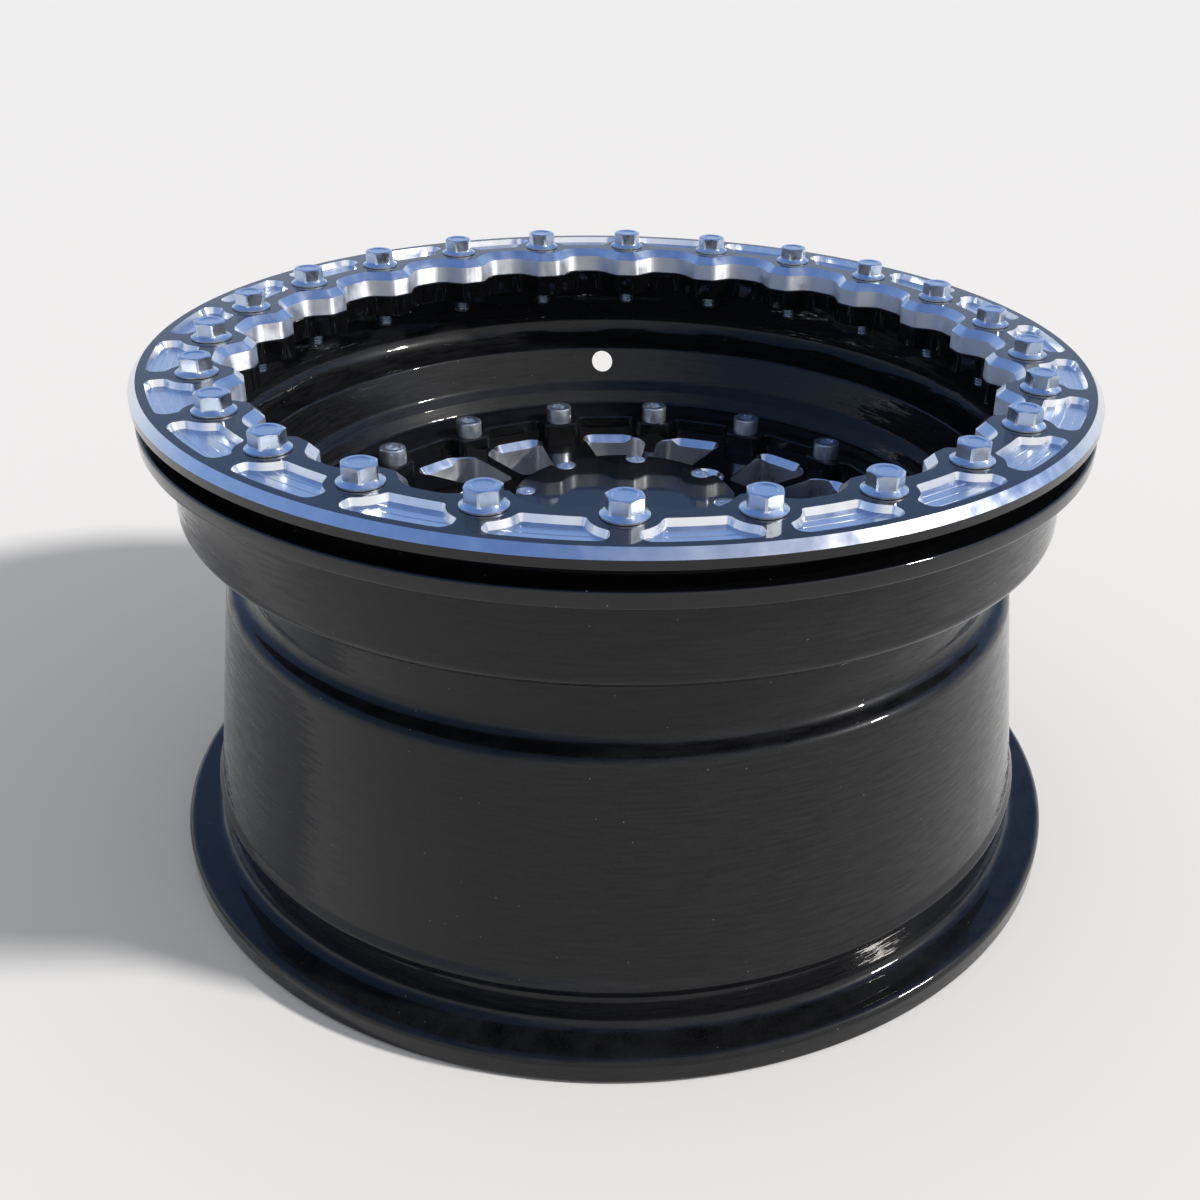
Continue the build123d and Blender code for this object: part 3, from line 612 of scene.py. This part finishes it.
# inner rim half: collar, rounded shelf, conical barrel, hump, bead seat and curled lip
innerHalf = dict(segments=288, section=[  # radius, height and rounding of each corner
    (161.3, 25.3, 0), (167.0, 25.3, 0), (167.0, 20.0, 6.7), (176.2, 17.5, 5.7), (189.2, -74.0, 2.0),
    (191.6, -78.0, 3.0), (189.2, -82.0, 2.0), (190.0, -97.5, 5.0), (207.4, -97.5, 3.4), (207.4, -109.5, 2.0),
    (201.4, -109.5, 2.0), (201.4, -103.5, 2.0), (184.7, -103.5, 9.0), (184.7, -82.0, 6.0), (170.9, 14.7, 5.0),
    (161.3, 12.2, 3.0)])


def makeInnerHalf(half):
    bm = startMesh()
    angles = [360 * k / half["segments"] for k in range(half["segments"])]
    rows = [circleRow(bm, p.x, angles, p.y) for p in braced(roundedPath(half["section"]))]
    tube(bm, rows + rows[:1])
    piece = storeMesh(bm, "innerRimHalf")
    piece.data.materials.append(shellMaterial)
    finishPiece(piece, "inner_rim_half")


makeInnerHalf(innerHalf)

# machined centre: black faces, lugged rim under the flange, bright window walls, bevels and stud seats
wheelCentre = dict(spokes=8, face=22.3, seat=25.3, rim=161.0, rimBack=13.3, body=139.0, pad=124.0, relief=3.0,
                   bore=60.65, boreTop=14.0, cavity=38.0, boss=51.0, bossTop=33.0, bossFillet=2.0, bossApron=6.0,
                   bendStep=15.0, steps=32)
window = dict(inner=86.0, outer=126.0, spokeHalf=12.25, webHalf=3.0, spokeCorner=4.0, webCorner=9.5, hubCorner=4.5,
              bevel=3.4, cutter=6.0, spokeGap=5.5, webGap=13.0, edge=0.3, longestRun=0.8)
studHole = dict(circle=82.55, hole=7.9, seat=10.2, seatAngle=60.0, segments=48)


def makeWheelCentre(centre, sizes, stud, lugs):
    coat, bright, windowWall = range(3)  # finishes, in the order of the materials below
    bm = startMesh()
    pitch = 360 / centre["spokes"]
    angles = sectorAngles(pitch, centre["steps"])
    face, boss, bore, cavity = centre["face"], centre["boss"], centre["bore"], centre["cavity"]
    bossFoot = roundedPath([
        (boss, centre["bossTop"], 0), (boss, face, centre["bossFillet"]), (boss + centre["bossApron"], face, 0)],
        closed=False, step=centre["bendStep"])
    inside = [(bore, 0), (bore, centre["boreTop"]), (cavity, centre["boreTop"]), (cavity, centre["bossTop"])]
    front = spin(bm, inside + [tuple(p) for p in bossFoot], angles, coat)
    back = spin(bm, [(centre["rim"], centre["seat"]), (centre["rim"], centre["rimBack"]),
                     (centre["body"], centre["rimBack"]), (centre["body"], centre["relief"]),
                     (centre["pad"], centre["relief"]), (centre["pad"], 0)], angles, coat)
    # two lugs of the flange to a spoke
    edge = []
    for turn in (-pitch / 4, pitch / 4):
        valley = lugValley(lugs, pitch / 2)
        for p in valley:
            p.rotate(Matrix.Rotation(math.radians(turn), 2))
        edge += valley[1:] if edge else valley
    lugFoot = ringOfPoints(bm, edge, face)
    lugTop = ringOfPoints(bm, edge, centre["seat"])
    wall(bm, lugFoot, lugTop, coat)
    flat(bm, [lugTop + back[0][::-1]], coat)
    faceHoles, backHoles = [], []
    for side in (-1, 1):
        web = side * pitch / 2
        ends = [besideLine(sizes["inner"], side * sizes["spokeHalf"], 0),
                besideLine(sizes["outer"], side * sizes["spokeHalf"], 0),
                besideLine(sizes["outer"], -side * sizes["webHalf"], web),
                besideLine(sizes["inner"], -side * sizes["webHalf"], web)]
        roundings = (sizes["hubCorner"], sizes["spokeCorner"], sizes["webCorner"], sizes["hubCorner"])
        corners = [(*p, r) for p, r in zip(ends, roundings)]
        if side < 0:
            corners.reverse()
        outline = divided(roundedPath(corners), sizes["longestRun"])
        # the bevel is as deep as the cone cutter reaches from its path along the outer wall
        along = (ends[2] - ends[1]).normalized()
        inwards = Vector((along.y, -along.x)) * -side
        depth = sizes["cutter"] - sizes["bevel"]
        pathStart = ends[1] + along * sizes["spokeGap"] + inwards * depth
        pathEnd = ends[2] - along * sizes["webGap"] + inwards * depth
        path = pathEnd - pathStart
        reach = []
        for p in outline:
            share = max(0.0, min(1.0, (p - pathStart).dot(path) / path.length_squared))
            reach.append(max(sizes["edge"], sizes["cutter"] - (p - pathStart.lerp(pathEnd, share)).length))
        sideways = [b - a for a, b in zip(outline, shifted(outline, 1.0))]
        brim = ringOfPoints(bm, [p + s * e for p, s, e in zip(outline, sideways, reach)], face)
        middle = ringOfPoints(bm, outline, [face - e for e in reach])
        foot = ringOfPoints(bm, outline, 0.0)
        wall(bm, middle, brim, bright, closed=True)
        wall(bm, foot, middle, windowWall, closed=True)
        faceHoles.append(brim)
        backHoles.append(foot)
    spot = Vector((stud["circle"], 0))
    turns = [360 * k / stud["segments"] for k in range(stud["segments"])]
    seatDepth = (stud["seat"] - stud["hole"]) / math.tan(math.radians(stud["seatAngle"] / 2))
    seatTop = ringOfPoints(bm, [spot + polarPoint(stud["seat"], a) for a in turns], face)
    seatFoot = ringOfPoints(bm, [spot + polarPoint(stud["hole"], a) for a in turns], face - seatDepth)
    holeFoot = ringOfPoints(bm, [spot + polarPoint(stud["hole"], a) for a in turns], 0.0)
    wall(bm, seatFoot, seatTop, bright, closed=True)
    wall(bm, holeFoot, seatFoot, bright, closed=True)
    flat(bm, [front[-1] + lugFoot[::-1]] + faceHoles + [seatTop], coat)
    flat(bm, [front[0] + back[-1][::-1]] + backHoles + [holeFoot], coat)
    piece = storeMesh(bm, "wheelCentre")
    repeatAround(piece, (coatMaterial, turnedMaterial, wallMaterial), centre["spokes"], pitch / 2)
    finishPiece(piece, "wheel_centre")


makeWheelCentre(wheelCentre, window, studHole, flangeLugs)

# hub cap: flat black disc with a bright notch at each screw
hubCap = dict(notches=8, radius=51.0, top=42.0, bottom=33.0, floor=37.0, chamfer=1.0, circle=45.6, notchHalf=5.0,
              spigot=37.7, spigotIn=33.0, spigotBottom=29.0, rimSteps=10, notchSteps=16, lipSteps=6)


def makeHubCap(cap):
    coat, notch = range(2)  # finishes, in the order of the materials below
    bm = startMesh()
    pitch = 360 / cap["notches"]
    radius, top, bottom, floor = cap["radius"], cap["top"], cap["bottom"], cap["floor"]
    topRadius = radius - cap["chamfer"]
    notchEdge = math.degrees(math.asin(cap["notchHalf"] / radius))
    topEdge = math.degrees(math.asin(cap["notchHalf"] / topRadius))
    spread = [k / cap["rimSteps"] for k in range(cap["rimSteps"] + 1)]
    sides = {}
    for side in (-1, 1):
        topAngles = [side * (topEdge + (pitch / 2 - topEdge) * s) for s in spread]
        rimAngles = [side * (notchEdge + (pitch / 2 - notchEdge) * s) for s in spread]
        upper = circleRow(bm, topRadius, topAngles, top)
        rim = circleRow(bm, radius, rimAngles, top - cap["chamfer"])
        low = circleRow(bm, radius, rimAngles, floor)
        wall(bm, rim, upper, coat)
        wall(bm, low, rim, coat)
        sides[side] = (upper, rim, low)
    turns = [270 - 180 * k / cap["notchSteps"] for k in range(cap["notchSteps"] + 1)]
    arc = [Vector((cap["circle"], 0)) + polarPoint(cap["notchHalf"], a) for a in turns]
    edgeTop = ringOfPoints(bm, arc, top)
    edgeLow = ringOfPoints(bm, arc, floor)
    wall(bm, edgeLow, edgeTop, notch)
    for side, high, low in ((-1, edgeTop[0], edgeLow[0]), (1, edgeTop[-1], edgeLow[-1])):
        upper, rim, floorRow = sides[side]
        paint(bm, [bm.faces.new((low, high, upper[0], rim[0], floorRow[0]))], notch)
    lipAngles = [notchEdge * (2 * k / cap["lipSteps"] - 1) for k in range(1, cap["lipSteps"])]
    lip = circleRow(bm, radius, lipAngles, floor)
    leftTop, leftFloor = sides[-1][0], sides[-1][2]
    rightTop, rightFloor = sides[1][0], sides[1][2]
    brimRow = leftFloor[::-1] + lip + rightFloor
    flat(bm, [[leftFloor[0]] + lip + [rightFloor[0]] + edgeLow[::-1]], notch)
    middle = bm.verts.new((0, 0, top))
    flat(bm, [[middle] + leftTop[::-1] + edgeTop + rightTop], coat)
    footRow = [bm.verts.new((v.co.x, v.co.y, bottom)) for v in brimRow]
    wall(bm, footRow, brimRow, coat)
    angles = [math.degrees(math.atan2(v.co.y, v.co.x)) for v in footRow]
    under = spin(bm, [(cap["spigot"], bottom), (cap["spigot"], cap["spigotBottom"]),
                      (cap["spigotIn"], cap["spigotBottom"]), (cap["spigotIn"], bottom)], angles, coat)
    wall(bm, footRow, under[0], coat)
    centre = bm.verts.new((0, 0, bottom))
    flat(bm, [[centre] + under[-1]], coat)
    piece = storeMesh(bm, "hubCap")
    repeatAround(piece, (coatMaterial, turnedMaterial), cap["notches"])
    finishPiece(piece, "centre_cap")


makeHubCap(hubCap)

# flange bolts: hex head on a wide washer face, shallow dish on top, threaded tip
# sections of the tip, one turn of thread and the washer face are radius and height
flangeBolt = dict(flats=12.0, blunt=0.965, head=7.5, crown=5.7, crownSlant=28.0, dish=4.4, dishRun=0.6, dishDepth=0.35,
                  washer=((4.0, 0.02), (8.05, 0.02), (8.3, 0.2), (8.3, 0.8), (8.0, 1.0), (6.85, 1.8)), washerTop=2.3,
                  length=30.0, tip=((3.2, 0.0), (3.9, 0.8)), thread=((4.0, 0.15), (3.4, 0.62), (4.0, 1.1)),
                  threadStart=0.9, pitch=1.25, threads=7, corners=(0, 8, 16, 22, 26, 28.5, 31.5, 34, 38, 44, 52),
                  looseTurn=60.0, seed=4, sharpAngle=24.0)


def hexAngles(corners):
    return [60 * k + d for k in range(6) for d in corners]


def hexRadius(flats, angle, blunt):
    local = (angle + 30) % 60 - 30
    return min(flats / 2 / math.cos(math.radians(local)), flats / math.sqrt(3) * blunt)


def makeFlangeBolts(bolt, ring):
    bm = startMesh()
    angles = hexAngles(bolt["corners"])
    low = -bolt["length"]
    profile = [(r, low + z) for r, z in bolt["tip"]]
    for k in range(bolt["threads"]):
        foot = low + bolt["threadStart"] + bolt["pitch"] * k
        profile += [(r, foot + z) for r, z in bolt["thread"]]
    profile += bolt["washer"]
    rows = [circleRow(bm, r, angles, z) for r, z in profile]
    hexagon = [hexRadius(bolt["flats"], a, bolt["blunt"]) for a in angles]
    slant = math.tan(math.radians(bolt["crownSlant"]))
    crownEdge = [bolt["head"] - max(0, r - bolt["crown"]) * slant for r in hexagon]
    rows.append(circleRow(bm, hexagon, angles, bolt["washerTop"]))
    rows.append(circleRow(bm, hexagon, angles, crownEdge))
    for r, z in ((bolt["crown"], bolt["head"]), (bolt["dish"], bolt["head"]),
                 (bolt["dish"] - bolt["dishRun"], bolt["head"] - bolt["dishDepth"])):
        rows.append(circleRow(bm, r, angles, z))
    tube(bm, rows)
    bm.faces.new(rows[0])
    bm.faces.new(rows[-1])
    piece = storeMesh(bm, "flangeBolts")
    repeatAround(piece, (zincMaterial,), ring["bolts"], ring["firstBolt"], ring["boltCircle"], ring["face"],
                 looseTurn=bolt["looseTurn"], seed=bolt["seed"])
    finishPiece(piece, "ring_bolts", bolt["sharpAngle"])


makeFlangeBolts(flangeBolt, clampRing)

# socket screws: plain round heads with a hexagon socket
socketScrew = dict(tip=0.7, lift=0.02, footBreak=0.2, edgeShare=0.3, mouth=0.35, mouthDepth=0.3, drillTip=0.5,
                   blunt=0.99, corners=(0, 8, 16, 23, 28, 32, 37, 44, 52), looseTurn=60.0, sharpAngle=24.0)
centreScrew = dict(socketScrew, count=16, circle=131.0, seat=30.5, head=6.5, height=8.0, edge=0.6,
                   socket=6.0, socketDepth=4.4, shank=4.0, length=20.0, seed=7)
capScrew = dict(socketScrew, count=8, circle=45.6, seat=37.0, head=4.25, height=5.0, edge=0.45,
                socket=4.0, socketDepth=2.75, shank=2.5, length=12.0, seed=9)


def makeSocketScrews(name, screw, node):
    bm = startMesh()
    angles = hexAngles(screw["corners"])
    socket = [hexRadius(screw["socket"], a, screw["blunt"]) for a in angles]
    top, head, shank = screw["height"], screw["head"], screw["shank"]
    edge, eased = screw["edge"], screw["edgeShare"] * screw["edge"]
    profile = [(shank - screw["tip"], -screw["length"]), (shank, -screw["length"] + screw["tip"]),
               (shank, screw["lift"]), (head - screw["footBreak"], screw["lift"]), (head, screw["footBreak"]),
               (head, top - edge), (head - eased, top - eased), (head - edge, top),
               (screw["socket"] / math.sqrt(3) + screw["mouth"], top)]
    rows = [circleRow(bm, r, angles, z) for r, z in profile]
    for drop in (screw["mouthDepth"], screw["socketDepth"]):
        rows.append(circleRow(bm, socket, angles, top - drop))
    tube(bm, rows)
    bm.faces.new(rows[0])
    tip = bm.verts.new((0, 0, top - screw["socketDepth"] - screw["drillTip"]))
    for a, b in zip(rows[-1], rows[-1][1:] + rows[-1][:1]):
        bm.faces.new((a, b, tip))
    piece = storeMesh(bm, name)
    repeatAround(piece, (screwMaterial,), screw["count"], 0.0, screw["circle"], screw["seat"],
                 looseTurn=screw["looseTurn"], seed=screw["seed"])
    finishPiece(piece, node, screw["sharpAngle"])


makeSocketScrews("centreScrews", centreScrew, "centre_screws")
makeSocketScrews("capScrews", capScrew, "cap_screws")

# pale matte studio floor under the lip, its size in metres
studioFloor = dict(height=-109.5, size=40.0, colour="#edeef1", roughness=0.9, shine=0.05)


def makeFloor(sizes):
    half = sizes["size"] / 2
    mesh = bpy.data.meshes.new("studioFloor")
    z = sizes["height"] * mm
    mesh.from_pydata([(-half, -half, z), (half, -half, z), (half, half, z), (-half, half, z)], [], [(0, 1, 2, 3)])
    floor = bpy.data.objects.new("studioFloor", mesh)
    scene.collection.objects.link(floor)
    material, tree = startMaterial("paleFloor")
    shader = addNode(tree, "ShaderNodeBsdfPrincipled", {
        "Base Color": linearColour(sizes["colour"]), "Roughness": sizes["roughness"],
        "Specular IOR Level": sizes["shine"]})
    addNode(tree, "ShaderNodeOutputMaterial", {"Surface": shader.outputs[0]})
    mesh.materials.append(material)
    print("floor made")


makeFloor(studioFloor)

# soft sky dome, pale at the horizon and white to the right of the camera, and one soft key from the right
studioLight = dict(sky=((0.0, "#f4f6f9"), (0.14, "#dfe8f5"), (0.38, "#86a8de"), (1.0, "#5878b2")), skyStrength=1.0,
                   fill="#b3b3b3", glow="#ffffff", glowWay=(0.6, -0.8, 0.05), glowStart=0.3, glowEnd=0.95,
                   keyAzimuth=-6.0, keyHeight=35.0, keySpread=6.0, keyStrength=3.2, keyColour="#fffaf3")


def makeLight(light):
    world = bpy.data.worlds.new("studioSky")
    world.use_nodes = True
    tree = world.node_tree
    tree.nodes.clear()
    way = addNode(tree, "ShaderNodeTexCoord").outputs["Generated"]
    up = addNode(tree, "ShaderNodeSeparateXYZ", {0: way}).outputs[2]
    ramp = addNode(tree, "ShaderNodeValToRGB", {0: up})
    ramp.color_ramp.elements.remove(ramp.color_ramp.elements[1])
    for i, (height, code) in enumerate(light["sky"]):
        stop = ramp.color_ramp.elements[0] if i == 0 else ramp.color_ramp.elements.new(height)
        stop.position = height
        stop.color = linearColour(code)
    facing = addNode(tree, "ShaderNodeVectorMath", {0: way, 1: light["glowWay"]},
                     operation="DOT_PRODUCT").outputs["Value"]
    glowing = addNode(tree, "ShaderNodeMapRange", {
        "Value": facing, "From Min": light["glowStart"], "From Max": light["glowEnd"]},
        interpolation_type="SMOOTHSTEP").outputs[0]
    sky = addNode(tree, "ShaderNodeMix", {0: glowing, 6: ramp.outputs[0], 7: linearColour(light["glow"])},
                  data_type="RGBA").outputs[2]
    # reflections see the blue of the sky, the light that falls on matte surfaces is neutral
    falling = addNode(tree, "ShaderNodeLightPath").outputs["Is Diffuse Ray"]
    colour = addNode(tree, "ShaderNodeMix", {0: falling, 6: sky, 7: linearColour(light["fill"])},
                     data_type="RGBA").outputs[2]
    shade = addNode(tree, "ShaderNodeBackground", {"Color": colour, "Strength": light["skyStrength"]})
    addNode(tree, "ShaderNodeOutputWorld", {"Surface": shade.outputs[0]})
    scene.world = world
    lamp = bpy.data.lights.new("keyLight", "SUN")
    lamp.energy = light["keyStrength"]
    lamp.angle = math.radians(light["keySpread"])
    lamp.color = linearColour(light["keyColour"])[:3]
    holder = bpy.data.objects.new("keyLight", lamp)
    height = math.radians(light["keyHeight"])
    flatWay = polarPoint(math.cos(height), light["keyAzimuth"])
    shining = Vector((-flatWay.x, -flatWay.y, -math.sin(height)))
    holder.rotation_euler = shining.to_track_quat("-Z", "Y").to_euler()
    scene.collection.objects.link(holder)
    print("light made")


makeLight(studioLight)

# camera at the photograph's viewpoint
viewpoint = dict(place=(67.68, -575.60, 295.73), right=(0.99671, 0.07268, 0.03575), up=(-0.06705, 0.49284, 0.86753),
                 forward=(-0.04544, 0.86708, -0.49609), sensor=36.0, lens=41.40, shift=(-0.0842, 0.0384),
                 nearest=0.01)


def makeCamera(view):
    camera = bpy.data.cameras.new("photoCamera")
    camera.sensor_width = view["sensor"]
    camera.lens = view["lens"]
    camera.shift_x, camera.shift_y = view["shift"]
    camera.clip_start = view["nearest"]
    holder = bpy.data.objects.new("photoCamera", camera)
    turn = Matrix((view["right"], view["up"], [-c for c in view["forward"]])).transposed().to_4x4()
    holder.matrix_world = Matrix.Translation(Vector(view["place"]) * mm) @ turn
    scene.collection.objects.link(holder)
    scene.camera = holder


makeCamera(viewpoint)
scene.view_settings.view_transform = "Standard"
bpy.context.view_layer.update()
print("scene ready")
